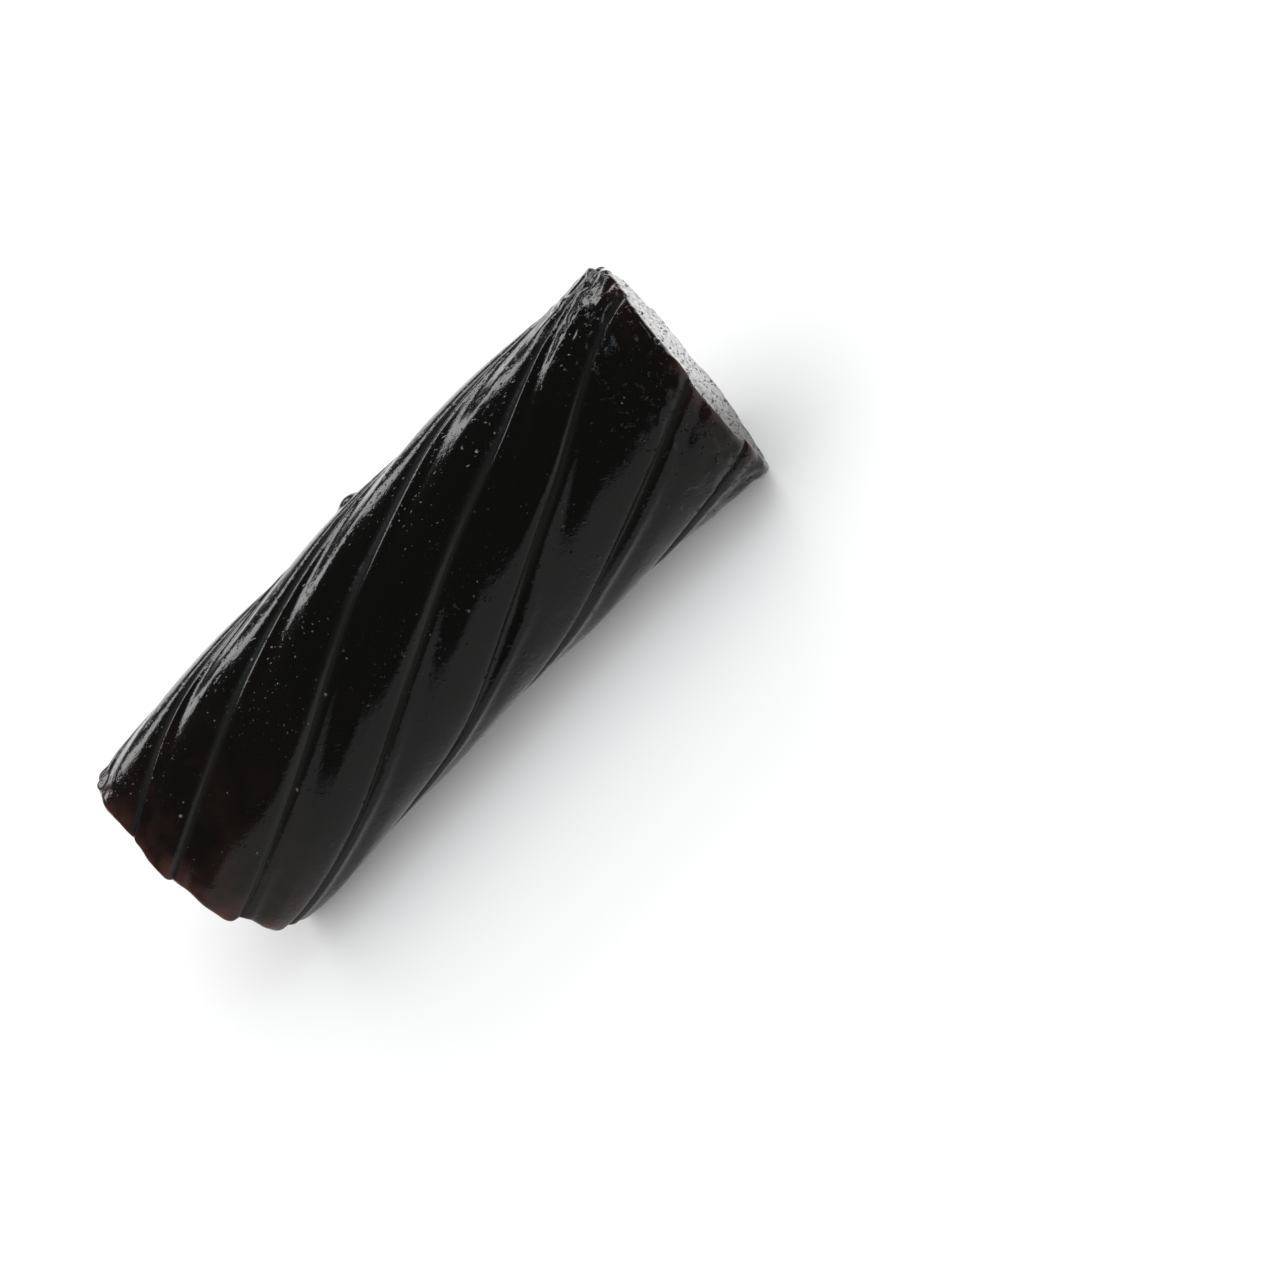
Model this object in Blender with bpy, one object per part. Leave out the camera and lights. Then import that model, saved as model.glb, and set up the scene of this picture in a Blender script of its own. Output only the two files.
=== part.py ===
"""A cut piece of soft black licorice: a thick twisted rope of candy with nine uneven ribs.

Metres, +Z up. The piece lies on its side along X, on the plane Z = 0, and its origin is below the
middle of its box. It is one closed solid with a slanted cut at each end.

The rope is described by lines that run along the ribs. A line has a rib, and a place across that rib
from -1 at one crease, over 0 at the crest, to 1 at the next crease. Angles are measured round the
axis, from the front (-Y) up to the top (+Z), and are given where the line crosses the rope's middle.
"""

import math

import bmesh
import bpy
from mathutils import Matrix, Vector

# The rope
ROPE_RADIUS = 0.0090            # from the axis to the crest of a rib
CUT_TO_CUT = 0.0480             # length along the axis
TURN_LENGTH = 0.1150            # a rib goes once round the rope in this length
AXIS_HEIGHT = 0.00868           # less than the radius, so that the crests lie flat on the plane
OVAL = 0.00012                  # wider than high by this much on the radius

# The ribs, in degrees, starting at the crease just below the front of the rope
FIRST_CREASE = -7.4
RIB_WIDTHS = (41.3, 35.9, 37.9, 39.5, 39.5, 44.5, 37.8, 43.3, 40.3)
RIB_LIFTS = (0.00006, -0.00004, 0.00008, -0.00002, 0.00010, -0.00006, 0.00009, 0.00002, -0.00005)

# How the creases stray from their even twist: all in a wave, and each in its own way, in degrees at
# five places from the left cut to the right
WANDER = 1.1
WANDER_LENGTH = 0.0330
WANDER_PHASE = 2.4              # from one crease to the next
CREASE_STRAYS = (
    (-3.0, -3.0, -2.5, -0.5, 8.0),
    (-4.0, -6.0, -2.5, -4.0, 2.0),
    (-2.0, -3.5, 0.0, 0.0, 1.0),
    (0.0, 2.0, 1.0, 0.0, 0.0),
    (-9.0, 0.0, 0.0, 0.0, 0.0),
    (0.0, 0.0, 1.5, 0.0, -1.5),
    (0.0, -1.5, 0.0, 1.5, 0.0),
    (1.0, 0.0, -1.0, 0.0, 0.0),
    (0.0, 0.0, -1.0, -1.0, -0.5),
)

# The section of a rib: its lower side falls to a crease in a power curve, and from the crease a short
# wall climbs to the next rib's upper edge, which is a rounded bead above a shallow hollow
CREASE_DEPTHS = (0.00036, 0.00034, 0.00032, 0.00034, 0.00034, 0.00048, 0.00044, 0.00050, 0.00036)
FLANK_REACH = 0.0024
FLANK_POWER = 5.2
WALLS = (0.00022, 0.00020, 0.00018, 0.00018, 0.00018, 0.00026, 0.00026, 0.00026, 0.00024)
BEAD_HEIGHT = 0.00044
BEAD_SPREAD = 0.00034
EDGE_DROP = 0.00054
EDGE_REACH = 0.0031
EDGE_POWER = 1.2

# Low on the front some creases gape: their walls get wider by this much, and they get deeper
GAPES = (0.00064, 0.00010, 0.00007, 0.0, 0.0, 0.0, 0.00004, 0.00012, 0.00040)
GAPE_ANGLE = 4.0
GAPE_SPREAD = 17.0              # degrees
GAPE_DEEPENING = 0.30           # as a share of the gape

# Slow swellings of the rope, each with its height, ribs round, length along the rope and start
SWELLS = ((0.00010, 2, 0.0310, 0.8), (0.00008, -3, 0.0190, 2.1), (0.00005, 5, 0.0130, 4.0))

# The rope bends towards the front at its right end, and narrows just before the left cut
BEND = 0.00145
BEND_START = 0.0020
TAPER = 0.00060
TAPER_LENGTH = 0.0017

# Towards the right cut one rib is splayed by the knife and the top sinks. Each has its height, its
# angle and spread round the rope in degrees, and its reach from the cut.
END_SWELLS = ((0.00055, -56.0, 24.0, 0.0030), (-0.00040, 118.0, 38.0, 0.0130))

# How far each cut moves along X for a metre along Y and along Z: both lean out at the top
LEFT_CUT = (0.0265, -0.147)
RIGHT_CUT = (0.018, 0.138)
EDGE_ROUND = 0.00045            # radius of the rounded rim of a cut

# How much shorter each rib is than its cut, because the ribs sprang apart under the knife, and how
# much shorter still at its upper edge and longer at its lower one. The steps are only near the rim:
# inside it the cut is flat.
FLAT_INSET = 0.0014             # from the rim to where the cut is flat
LEFT_STEPS = (0.0, -0.00012, -0.0001, 0.0001, 0.00015, -0.0001, 0.0002, 0.0, -0.0002)
RIGHT_STEPS = (0.0, 0.0009, 0.0005, 0.0, -0.0001, 0.0001, 0.0, 0.00015, 0.00005)
LEFT_TILTS = (0.0004, 0.00056, 0.0005, 0.00025, -0.0003, 0.0, 0.0001, -0.0001, 0.0)
RIGHT_TILTS = (0.00005, 0.0, -0.0001, 0.0001, 0.0, 0.00005, -0.0001, 0.00005, 0.0001)
STEP_POWER = 5.0                # how late across a rib its step turns into the next rib's

# The mesh: places across a rib, rings along the side, steps round the rim, and rings on each end
ACROSS = (-1.0, -0.95, -0.87, -0.74, -0.50, -0.20, 0.12, 0.42, 0.64, 0.76, 0.86, 0.93)
SIDE_RINGS = 36
RIM_STEPS = 2
END_RINGS = RIM_STEPS + 1
SOLVING_ROUNDS = 8

BLACK = (0.011, 0.009, 0.008, 1.0)
GLOSS_ROUGHNESS = 0.16


def smoothly(value):
    """0 below 0, 1 above 1, and an eased step between."""
    kept = min(max(value, 0.0), 1.0)
    return kept * kept * (3.0 - 2.0 * kept)


def degrees_between(angle, other):
    """The way from one angle to another round the rope, from -180 to 180."""
    return (other - angle + 180.0) % 360.0 - 180.0


def crease_angle(number, x):
    """Angle, in degrees, of a crease at x, without the twist. Number 9 is crease 0 once round."""
    own = number % len(RIB_WIDTHS)
    strays = CREASE_STRAYS[own]
    stretches = len(strays) - 1
    along = min(max((x / CUT_TO_CUT + 0.5) * stretches, 0.0), float(stretches))
    knot = min(int(along), stretches - 1)
    share = smoothly(along - knot)
    stray = strays[knot] * (1.0 - share) + strays[knot + 1] * share
    wander = WANDER * math.sin(2.0 * math.pi * x / WANDER_LENGTH + WANDER_PHASE * own)
    return FIRST_CREASE + sum(RIB_WIDTHS[:number]) + wander + stray


def rib_line(rib, across, x):
    """Angle round the axis, in degrees, of a line along the ribs where it passes x."""
    share = (across + 1.0) / 2.0
    at_middle = crease_angle(rib, x) * (1.0 - share) + crease_angle(rib + 1, x) * share
    return at_middle + 360.0 * x / TURN_LENGTH


def rib_profile(rib, across, turned):
    """Height of a rib's section over the plain round, at a place across it and an angle."""
    crease = (rib + (across > 0.0)) % len(RIB_WIDTHS)
    half_width = math.radians(RIB_WIDTHS[rib]) / 2.0 * ROPE_RADIUS
    away = (1.0 - abs(across)) * half_width
    from_gape = degrees_between(GAPE_ANGLE, turned)
    gape = GAPES[crease] * math.exp(-(from_gape / GAPE_SPREAD) ** 2)
    depth = CREASE_DEPTHS[crease] + GAPE_DEEPENING * gape
    if across <= 0.0:
        return -depth * max(0.0, 1.0 - away / FLANK_REACH) ** FLANK_POWER
    wall = WALLS[crease] + gape
    bead = BEAD_HEIGHT * math.exp(-0.5 * ((away - wall) / BEAD_SPREAD) ** 2)
    edge = bead - EDGE_DROP * max(0.0, 1.0 - away / EDGE_REACH) ** EDGE_POWER
    climb = smoothly(away / wall)
    return edge * climb - depth * (1.0 - climb)


def rope_radius(rib, across, x):
    """Distance from the axis to the surface, before the ends are cut."""
    turned = rib_line(rib, across, x)
    at_middle = math.radians(turned - 360.0 * x / TURN_LENGTH)
    swell = 0.0
    for height, around, length, start in SWELLS:
        swell += height * math.sin(around * at_middle + 2.0 * math.pi * x / length + start)
    from_right = CUT_TO_CUT / 2.0 - x
    for height, angle, spread, reach in END_SWELLS:
        aside = degrees_between(angle, turned)
        swell += height * math.exp(-(aside / spread) ** 2 - (from_right / reach) ** 2)

    lift = RIB_LIFTS[rib] * (1.0 - across ** 2) ** 2
    oval = OVAL * math.cos(2.0 * math.radians(turned))
    taper = TAPER * math.exp(-max(x + CUT_TO_CUT / 2.0, 0.0) / TAPER_LENGTH)
    return ROPE_RADIUS + lift + swell + oval + rib_profile(rib, across, turned) - taper


def rope_axis(x):
    """Y of the rope's axis, which bends towards the front at its right end."""
    past = max(0.0, x - BEND_START) / (CUT_TO_CUT / 2.0 - BEND_START)
    return -BEND * past ** 2


def rope_point(rib, across, x, inset=0.0):
    """A point of the surface, or inset under it, with what would sink below the plane laid on it."""
    angle = math.radians(rib_line(rib, across, x))
    radius = rope_radius(rib, across, x) - inset
    y = rope_axis(x) - radius * math.cos(angle)
    z = AXIS_HEIGHT + radius * math.sin(angle)
    return Vector((x, y, max(z, 0.0)))


def cut_x(side, y, z):
    """X of the cut at the left (side -1) or the right (side 1) of the rope, at a place y, z."""
    lean_y, lean_z = RIGHT_CUT if side > 0 else LEFT_CUT
    return side * CUT_TO_CUT / 2.0 + lean_y * y + lean_z * (z - AXIS_HEIGHT)


def rib_step(side, rib, across):
    """How far a rib ends short of the cut: its own tilted step, shared with the next rib's at the
    crease."""
    steps, tilts = (RIGHT_STEPS, RIGHT_TILTS) if side > 0 else (LEFT_STEPS, LEFT_TILTS)
    upwards = 1 if across > 0.0 else -1
    neighbour = (rib + upwards) % len(steps)
    beside = steps[neighbour] - upwards * tilts[neighbour]
    share = abs(across) ** STEP_POWER / 2.0
    return (steps[rib] + tilts[rib] * across) * (1.0 - share) + beside * share


def cut_point(side, rib, across, inset, short):
    """The point of a line that ends short of a cut, found by a few rounds of putting x in again."""
    x = side * CUT_TO_CUT / 2.0
    for _ in range(SOLVING_ROUNDS):
        point = rope_point(rib, across, x, inset)
        x = cut_x(side, point.y, point.z) - side * short
    return Vector((x, point.y, point.z))


def end_point(side, rib, across, step):
    """A point of an end: steps from 0 on the side of the rope go round the rim, and then inwards."""
    if step > RIM_STEPS:
        return cut_point(side, rib, across, EDGE_ROUND + FLAT_INSET, 0.0)
    turn = math.pi / 2.0 * step / RIM_STEPS
    inset = EDGE_ROUND * (1.0 - math.cos(turn))
    back = EDGE_ROUND * (1.0 - math.sin(turn))
    return cut_point(side, rib, across, inset, back + rib_step(side, rib, across))


def surface_point(ring, rib, across):
    """The place of one vertex. Rings run from the left cut, over the side, to the right cut."""
    side_ring = ring - END_RINGS
    if side_ring <= 0:
        return end_point(-1, rib, across, -side_ring)
    if side_ring >= SIDE_RINGS:
        return end_point(1, rib, across, side_ring - SIDE_RINGS)
    share = side_ring / SIDE_RINGS
    start = end_point(-1, rib, across, 0).x
    end = end_point(1, rib, across, 0).x
    return rope_point(rib, across, start + (end - start) * share)


def straight_tube(segments, rings):
    """A plain closed tube along X, one unit in radius and from ring to ring, with a spoke on +Y."""
    tube = bmesh.new()
    upright = Matrix.Rotation(math.pi / 2.0, 4, "Y")
    bmesh.ops.create_circle(tube, segments=segments, radius=1.0, matrix=upright)
    edges = tube.edges[:]
    for _ in range(rings):
        grown = bmesh.ops.extrude_edge_only(tube, edges=edges)["geom"]
        bmesh.ops.translate(tube, vec=(1.0, 0.0, 0.0),
                            verts=[item for item in grown if isinstance(item, bmesh.types.BMVert)])
        edges = [item for item in grown
                 if isinstance(item, bmesh.types.BMEdge) and item.is_boundary]
    open_edges = [edge for edge in tube.edges if edge.is_boundary]
    ends = bmesh.ops.holes_fill(tube, edges=open_edges, sides=0)["faces"]
    bmesh.ops.poke(tube, faces=ends)
    return tube


def shape_rope(tube, segments):
    """Moves each vertex of the plain tube to its place on the twisted, cut rope."""
    for vertex in tube.verts:
        ring = round(vertex.co.x)
        if math.hypot(vertex.co.y, vertex.co.z) < 0.5:
            side = -1 if ring == 0 else 1
            y = rope_axis(side * CUT_TO_CUT / 2.0)
            vertex.co = (cut_x(side, y, AXIS_HEIGHT), y, AXIS_HEIGHT)
            continue
        turned = math.atan2(vertex.co.z, vertex.co.y)
        spoke = round(turned / (2.0 * math.pi) * segments) % segments
        rib, place = divmod(spoke, len(ACROSS))
        vertex.co = surface_point(ring, rib, ACROSS[place])


def centre_on_origin(tube):
    """Moves the middle of the box to X = 0 and Y = 0."""
    for axis in (0, 1):
        values = [vertex.co[axis] for vertex in tube.verts]
        offset = Vector((0.0, 0.0, 0.0))
        offset[axis] = -(min(values) + max(values)) / 2.0
        bmesh.ops.translate(tube, vec=offset, verts=tube.verts[:])


def licorice_material():
    material = bpy.data.materials.new("black_licorice")
    material.use_nodes = True
    shader = material.node_tree.nodes["Principled BSDF"]
    shader.inputs["Base Color"].default_value = BLACK
    shader.inputs["Roughness"].default_value = GLOSS_ROUGHNESS
    shader.inputs["Metallic"].default_value = 0.0
    material.diffuse_color = BLACK
    return material


def make_licorice():
    segments = len(RIB_WIDTHS) * len(ACROSS)
    tube = straight_tube(segments, SIDE_RINGS + 2 * END_RINGS)
    shape_rope(tube, segments)
    centre_on_origin(tube)
    bmesh.ops.triangulate(tube, faces=tube.faces[:], quad_method="SHORT_EDGE")
    bmesh.ops.recalc_face_normals(tube, faces=tube.faces[:])

    mesh = bpy.data.meshes.new("licorice")
    tube.to_mesh(mesh)
    tube.free()
    mesh.materials.append(licorice_material())
    mesh.shade_smooth()
    mesh.set_sharp_from_angle(angle=math.radians(50.0))
    licorice = bpy.data.objects.new("licorice", mesh)
    bpy.context.scene.collection.objects.link(licorice)
    return licorice


def main():
    for leftover in list(bpy.data.objects):
        bpy.data.objects.remove(leftover, do_unlink=True)
    make_licorice()


main()
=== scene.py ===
import itertools
import math

import bpy
import numpy as np
from bpy.props import FloatProperty, FloatVectorProperty, IntProperty, PointerProperty
from mathutils import Matrix, Vector


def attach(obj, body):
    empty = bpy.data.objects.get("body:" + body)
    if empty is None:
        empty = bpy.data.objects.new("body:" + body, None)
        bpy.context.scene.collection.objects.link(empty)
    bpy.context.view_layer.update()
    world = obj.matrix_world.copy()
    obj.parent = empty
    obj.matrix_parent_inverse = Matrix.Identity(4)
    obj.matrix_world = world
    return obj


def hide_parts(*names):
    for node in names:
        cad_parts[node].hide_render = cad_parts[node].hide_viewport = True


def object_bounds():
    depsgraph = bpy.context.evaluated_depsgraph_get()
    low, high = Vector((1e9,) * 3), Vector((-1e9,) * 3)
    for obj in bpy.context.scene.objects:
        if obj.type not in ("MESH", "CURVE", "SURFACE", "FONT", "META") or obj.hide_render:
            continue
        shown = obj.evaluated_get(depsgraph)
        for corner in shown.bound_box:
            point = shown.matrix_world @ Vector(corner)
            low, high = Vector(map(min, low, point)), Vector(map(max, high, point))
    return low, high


bl_info = {
    "name": "Black licorice piece",
    "version": (1, 0, 0),
    "blender": (4, 5, 0),
    "location": "3D View > Sidebar > Licorice",
    "description": "Dresses a cut piece of soft twisted black licorice and lights it on a pale table",
    "category": "Add Mesh",
}

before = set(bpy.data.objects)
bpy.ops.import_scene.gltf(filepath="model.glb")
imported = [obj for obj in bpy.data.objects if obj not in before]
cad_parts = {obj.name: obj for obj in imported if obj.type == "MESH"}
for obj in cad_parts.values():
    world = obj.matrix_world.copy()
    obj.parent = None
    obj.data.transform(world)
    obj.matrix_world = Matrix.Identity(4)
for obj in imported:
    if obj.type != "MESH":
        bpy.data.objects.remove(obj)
CAD_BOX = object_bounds()

NODE = "licorice"
BODY = "root"

# The rope as the frame's solid has it, in metres and degrees. Angles go round the axis from the front
# (-Y) up to the top (+Z), and are given at the middle of the rope.
AXIS_HEIGHT = 0.00868
OVAL = 0.00012                  # wider than high by this much on the radius
FIRST_CREASE = -7.4
RIB_WIDTHS = np.array((41.3, 35.9, 37.9, 39.5, 39.5, 44.5, 37.8, 43.3, 40.3))
RIB_LIFTS = np.array((6, -4, 8, -2, 10, -6, 9, 2, -5)) * 0.00001
CREASE_DEPTHS = np.array((36, 34, 32, 34, 34, 48, 44, 50, 36)) * 0.00001
FLANK_REACH = 0.0024            # the steep lower flank of a rib, above a crease
FLANK_POWER = 5.2
WALLS = np.array((14, 12, 11, 11, 11, 16, 16, 16, 15)) * 0.00001    # widths of the steps up again
# The rounded upper edge of the next rib: how far past the step it peaks, and its reach down and up
BEAD_PAST = 0.00034
BEAD_SPREADS = (0.00052, 0.00047)
EDGE_DROP = 0.00054             # how far that edge lies below the crown, and the slope between them
EDGE_REACH = 0.0031
EDGE_POWER = 1.20
# How much noise changes the depth, the bead and the wall along a rib, as shares, and the waves a metre
# of that noise along the rope and round it, and of the wall's finer wavering
UNEVEN_DEPTH = 0.18
UNEVEN_BEAD = 0.30
UNEVEN_WALL = 0.30
WAVERING_WALL = 0.07
UNEVEN_WAVES = np.array((150.0, 60.0, 60.0))
WAVER_WAVES = 900.0
# Each crease wanders by so many degrees in waves of this length, later by the phase than the one before
WANDER = 1.1
WANDER_LENGTH = 0.0330
WANDER_PHASE = 2.4
# How far each crease strays from its even twist, in degrees, at five places from cut to cut
CREASE_STRAYS = np.array(((-3.0, -3.0, -3.5, -2.0, 8.0), (-4.0, -7.5, -6.0, -7.0, 2.0),
                          (-3.5, -4.5, -1.0, 0.0, 1.0), (0.0, 2.0, 1.0, 0.0, 0.0),
                          (-9.0, 0.0, 0.0, 0.0, 0.0), (0.0, 0.0, 1.5, 0.0, -1.5),
                          (0.0, -1.5, 0.0, 1.5, 0.0), (1.0, 0.0, -1.0, 0.0, 0.0),
                          (0.0, 0.0, -1.0, -1.0, -0.5)))
GAPES = np.array((82, 12, 7, 0, 0, 0, 6, 16, 38)) * 0.00001        # how far the creases gape
GAPE_ANGLE = -3.0               # low on the front, where they gape most
GAPE_SPREAD = 14.0
GAPE_DEEPENING = 0.30           # as a share of the gape
# Low swellings: each height, waves round the rope, length of a wave along it, and start
SWELLS = ((0.00010, 2, 0.0310, 0.8), (0.00008, -3, 0.0190, 2.1), (0.00005, 5, 0.0130, 4.0))
BEND = 0.00145                  # to the front, at the right cut
BEND_START = 0.0020
TAPER = 0.00060                 # less radius at the left cut
TAPER_LENGTH = 0.0017
# Towards the right cut one rib is splayed and the top sinks: each height, angle, spread and reach
END_SWELLS = ((0.00055, -56.0, 24.0, 0.0030), (-0.00040, 118.0, 38.0, 0.0130))

# The cuts: how far each moves along X for a metre along Y and along Z, and how far each rib stops short
CUT_LEANS = {-1: (0.0265, -0.147), 1: (0.018, 0.138)}
CUT_STEPS = {-1: np.array((0, -12, -10, 10, 15, -10, 20, 0, -20)) * 0.00001,
             1: np.array((0, 90, 50, 0, -10, 10, 0, 15, 5)) * 0.00001}
# How much shorter still a rib is at its upper edge, and longer at its lower one
CUT_TILTS = {-1: np.array((40, 56, 50, 25, -30, 0, 10, -10, 0)) * 0.00001,
             1: np.array((5, 0, -10, 10, 0, 5, -10, 5, 10)) * 0.00001}
STEP_POWER = 5.0                # how late across a rib its step turns into the next rib's
EDGE_ROUND = 0.00045            # radius of the rounded rim
EDGE_RAGGED = 0.00007
RAGGED_WAVES = 1300.0           # a metre
FLAT_INSET = 0.0020             # from the rim to where the cut is flat
FACE_SWELLING = 0.00004
FACE_WAVES = 260.0              # a metre
SOLVING_ROUNDS = 8

# What only the fine surface has: the underside rounds softly onto the table, and low bumps towards the
# right cut and one blister stand on it. The blister's place is along X and round the axis.
UNDERSIDE_SOFTNESS = 0.00005
END_BUMPS = 0.00016
END_BUMPS_LENGTH = 0.0080
BLISTER = 0.00036
BLISTER_PLACE = (0.0007, 126.5)
BLISTER_REACH = 0.00105
BLISTER_POWER = 1.2
# Its waves: how many a metre along and round the rope, and how low the shorter ones and the bumps are
LONG_WAVES = np.array((110.0, 420.0, 420.0))
SHORT_WAVES = np.array((600.0, 900.0, 900.0))
BUMP_WAVES = 1500.0
SHORT_SHARE = 0.30
BUMP_SHARE = 0.05
# Its dents: how they crowd to the right, their radii, their depths as shares of the radius, and the
# share of them that is raised
DENT_CROWDING = (1.6, 1.1)
DENT_RADII = (0.00018, 0.00046)
DENT_DEPTHS = (0.06, 0.16)
RAISED_SHARE = 0.2

# How far the looks reach, in metres: the painted glow of light through the thin edges, which at the left
# cut has a wide faint part too, the bumps and flecks of the right end, and the painted paler colour of a
# crease
LEFT_GLOW = 0.0012
WIDE_GLOW = 0.0050
WIDE_SHARE = 0.25
RIGHT_GLOW = 0.0008
RIGHT_SHARE = 0.32
FACE_GLOW = 0.0008
BUMPY_END = 0.0085
CREASE_SPREAD = 0.00032

# Heights in metres that only the shading has, on the skin and then on the cuts
STREAK_HEIGHT = 0.000003
WRINKLE_HEIGHT = 0.000048
GRAIN_HEIGHT = 0.000011
PIT_DEPTH = 0.000070
PIMPLE_HEIGHT = 0.000095
FLECK_HEIGHT = 0.00018
DRAG_DEPTH = 0.000006
CUT_GRAIN_HEIGHT = 0.000002
CUT_PIT_DEPTH = 0.000034
KNIFE_ANGLE = math.radians(35.0)    # of the marks that the knife dragged across the cut

# The grid of the fine surface
SPOKES_A_RIB = 36
SPOKE_CROWDING = 0.78           # how much closer the spokes are at the creases
SIDE_RINGS = 236
RIM_RINGS = 6
FACE_RINGS = 24

# The stage, in metres. The softbox stands behind the piece, at this rise above the table
TABLE_SIDE = 3.0
SOFTBOX_SIZE = (0.50, 0.105)
SOFTBOX_DISTANCE = 0.45
SOFTBOX_RISE = math.radians(29.5)
OVERHEAD_SIZE = (0.22, 0.22)
OVERHEAD_PLACE = (0.26, -0.16, 0.62)
OVERHEAD_COLOUR = (0.75, 0.87, 1.0)

# The photograph's frame, in pixels of its 1280, and where the rope's middle and crests lie in it
FRAME_WIDTH = 1280.0
MIDDLE_IN_FRAME = (435.0, 605.0)
ROPE_WIDTH_IN_FRAME = 265.0


class LicoriceShape(bpy.types.PropertyGroup):
    """Sizes of the rope and of what stands on it"""
    rope_radius: FloatProperty(name="Rope radius", description="From the axis to the crest of a rib",
                               default=0.0090, unit="LENGTH", precision=4)
    cut_to_cut: FloatProperty(name="Cut to cut", description="Length between the cuts, on the axis",
                              default=0.0480, unit="LENGTH", precision=4)
    turn_length: FloatProperty(name="Length of a turn",
                               description="A rib goes once round the rope in this length",
                               default=0.1150, unit="LENGTH", precision=4)
    bead_height: FloatProperty(name="Bead height",
                               description="Height of the rounded upper edge of each rib",
                               default=0.00034, unit="LENGTH", precision=5)
    waviness: FloatProperty(name="Waviness", description="Height of the soft waves along the ribs",
                            default=0.000030, unit="LENGTH", precision=6)
    dents: IntProperty(name="Dents", description="How many small dents the surface has",
                       default=90, min=0)
    seed: IntProperty(name="Seed", description="Start of every random draw", default=7)


class LicoriceFinish(bpy.types.PropertyGroup):
    """Colours and gloss of the licorice"""
    black: FloatVectorProperty(name="Licorice", description="Colour of the glossy skin",
                               subtype="COLOR", size=3, min=0.0, max=1.0,
                               default=(0.0032, 0.0031, 0.0026))
    brown: FloatVectorProperty(name="Thin edges", description="Where light comes through a thin edge",
                               subtype="COLOR", size=3, min=0.0, max=1.0,
                               default=(0.078, 0.031, 0.024))
    # Painted light: a paler colour in the creases that lifts their dark lines
    crease: FloatVectorProperty(name="Creases", description="Colour at the bottom of the creases",
                                subtype="COLOR", size=3, min=0.0, max=1.0,
                                default=(0.014, 0.0135, 0.012))
    # Painted glints: the pale colour put on the tops of pimples high on the rope, where light would catch
    # them
    glint: FloatVectorProperty(name="Specks", description="Colour of the pale specks in the skin",
                               subtype="COLOR", size=3, min=0.0, max=1.0,
                               default=(0.17, 0.174, 0.178))
    cut_black: FloatVectorProperty(name="Cut face", description="Colour of the matt cut face",
                                   subtype="COLOR", size=3, min=0.0, max=1.0,
                                   default=(0.020, 0.019, 0.019))
    gloss: FloatProperty(name="Roughness", description="Roughness of the glossy skin",
                         default=0.125, min=0.0, max=1.0, subtype="FACTOR")
    cut_gloss: FloatProperty(name="Cut roughness", description="Roughness of the cut face",
                             default=0.34, min=0.0, max=1.0, subtype="FACTOR")


class LicoriceStudio(bpy.types.PropertyGroup):
    """The table's colour, the camera's place and the lights"""
    floor_colour: FloatVectorProperty(name="Table", description="Colour of the table top",
                                      subtype="COLOR", size=3, min=0.0, max=1.0,
                                      default=(0.91, 0.91, 0.91))
    azimuth: FloatProperty(name="Camera azimuth", description="Turn of the camera round the piece",
                           default=math.radians(12.0), subtype="ANGLE")
    elevation: FloatProperty(name="Camera elevation", description="Height of the camera's view",
                             default=math.radians(35.0), subtype="ANGLE")
    slant: FloatProperty(name="Slant", description="Angle of the rope's axis in the picture",
                         default=math.radians(45.7), subtype="ANGLE")
    lens: FloatProperty(name="Lens", description="Focal length in millimetres", default=120.0)
    softbox_light: FloatProperty(name="Softbox", description="Radiance of the softbox behind the piece",
                                 default=3.0)
    overhead_light: FloatProperty(name="Overhead", description="Radiance of the overhead light",
                                  default=1.7)


def smoothly(values):
    """0 below 0, 1 above 1, and three times the square less twice the cube between."""
    kept = np.clip(values, 0.0, 1.0)
    return kept * kept * (3.0 - 2.0 * kept)


def degrees_from(angle, turned):
    """How many degrees the turned places, in radians, are past an angle: from -180 to 180."""
    return (np.degrees(turned) - angle + 180.0) % 360.0 - 180.0


def untwisted(shape, turned, x):
    """The angle round the axis with the twist taken out: less a turn for each turn length of x."""
    return turned - 2.0 * math.pi * x / shape.turn_length


def straight_place(shape, along, at_middle):
    """The place on a round rope without twist: its distance along, and the cosine and the sine of its
    angle times the rope's radius."""
    ring = shape.rope_radius * np.stack((np.cos(at_middle), np.sin(at_middle)), axis=-1)
    return np.concatenate((along[..., None], ring), axis=-1)


def lattice_noise(points, seed):
    """Smooth noise from -1 to 1. Each corner of a unit lattice has a value from a hash of its place,
    and the eight corners round a point are blended with eased weights."""
    cell = np.floor(points).astype(np.int64)
    part = smoothly(points - cell)
    total = np.zeros(points.shape[:-1])
    for corner in itertools.product((0, 1), repeat=3):
        place = cell + np.array(corner)
        hashed = place[..., 0] * 73856093 ^ place[..., 1] * 19349663 ^ place[..., 2] * 83492791
        hashed = (hashed ^ seed * 2654435761) & 0xFFFFFFFF
        hashed = ((hashed ^ hashed >> 15) * 2246822519) & 0xFFFFFFFF
        hashed = ((hashed ^ hashed >> 13) * 3266489917) & 0xFFFFFFFF
        value = (hashed >> 8 & 0xFFFF) / 32767.5 - 1.0
        weight = np.where(np.array(corner) == 1, part, 1.0 - part).prod(axis=-1)
        total += value * weight
    return total


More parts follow.
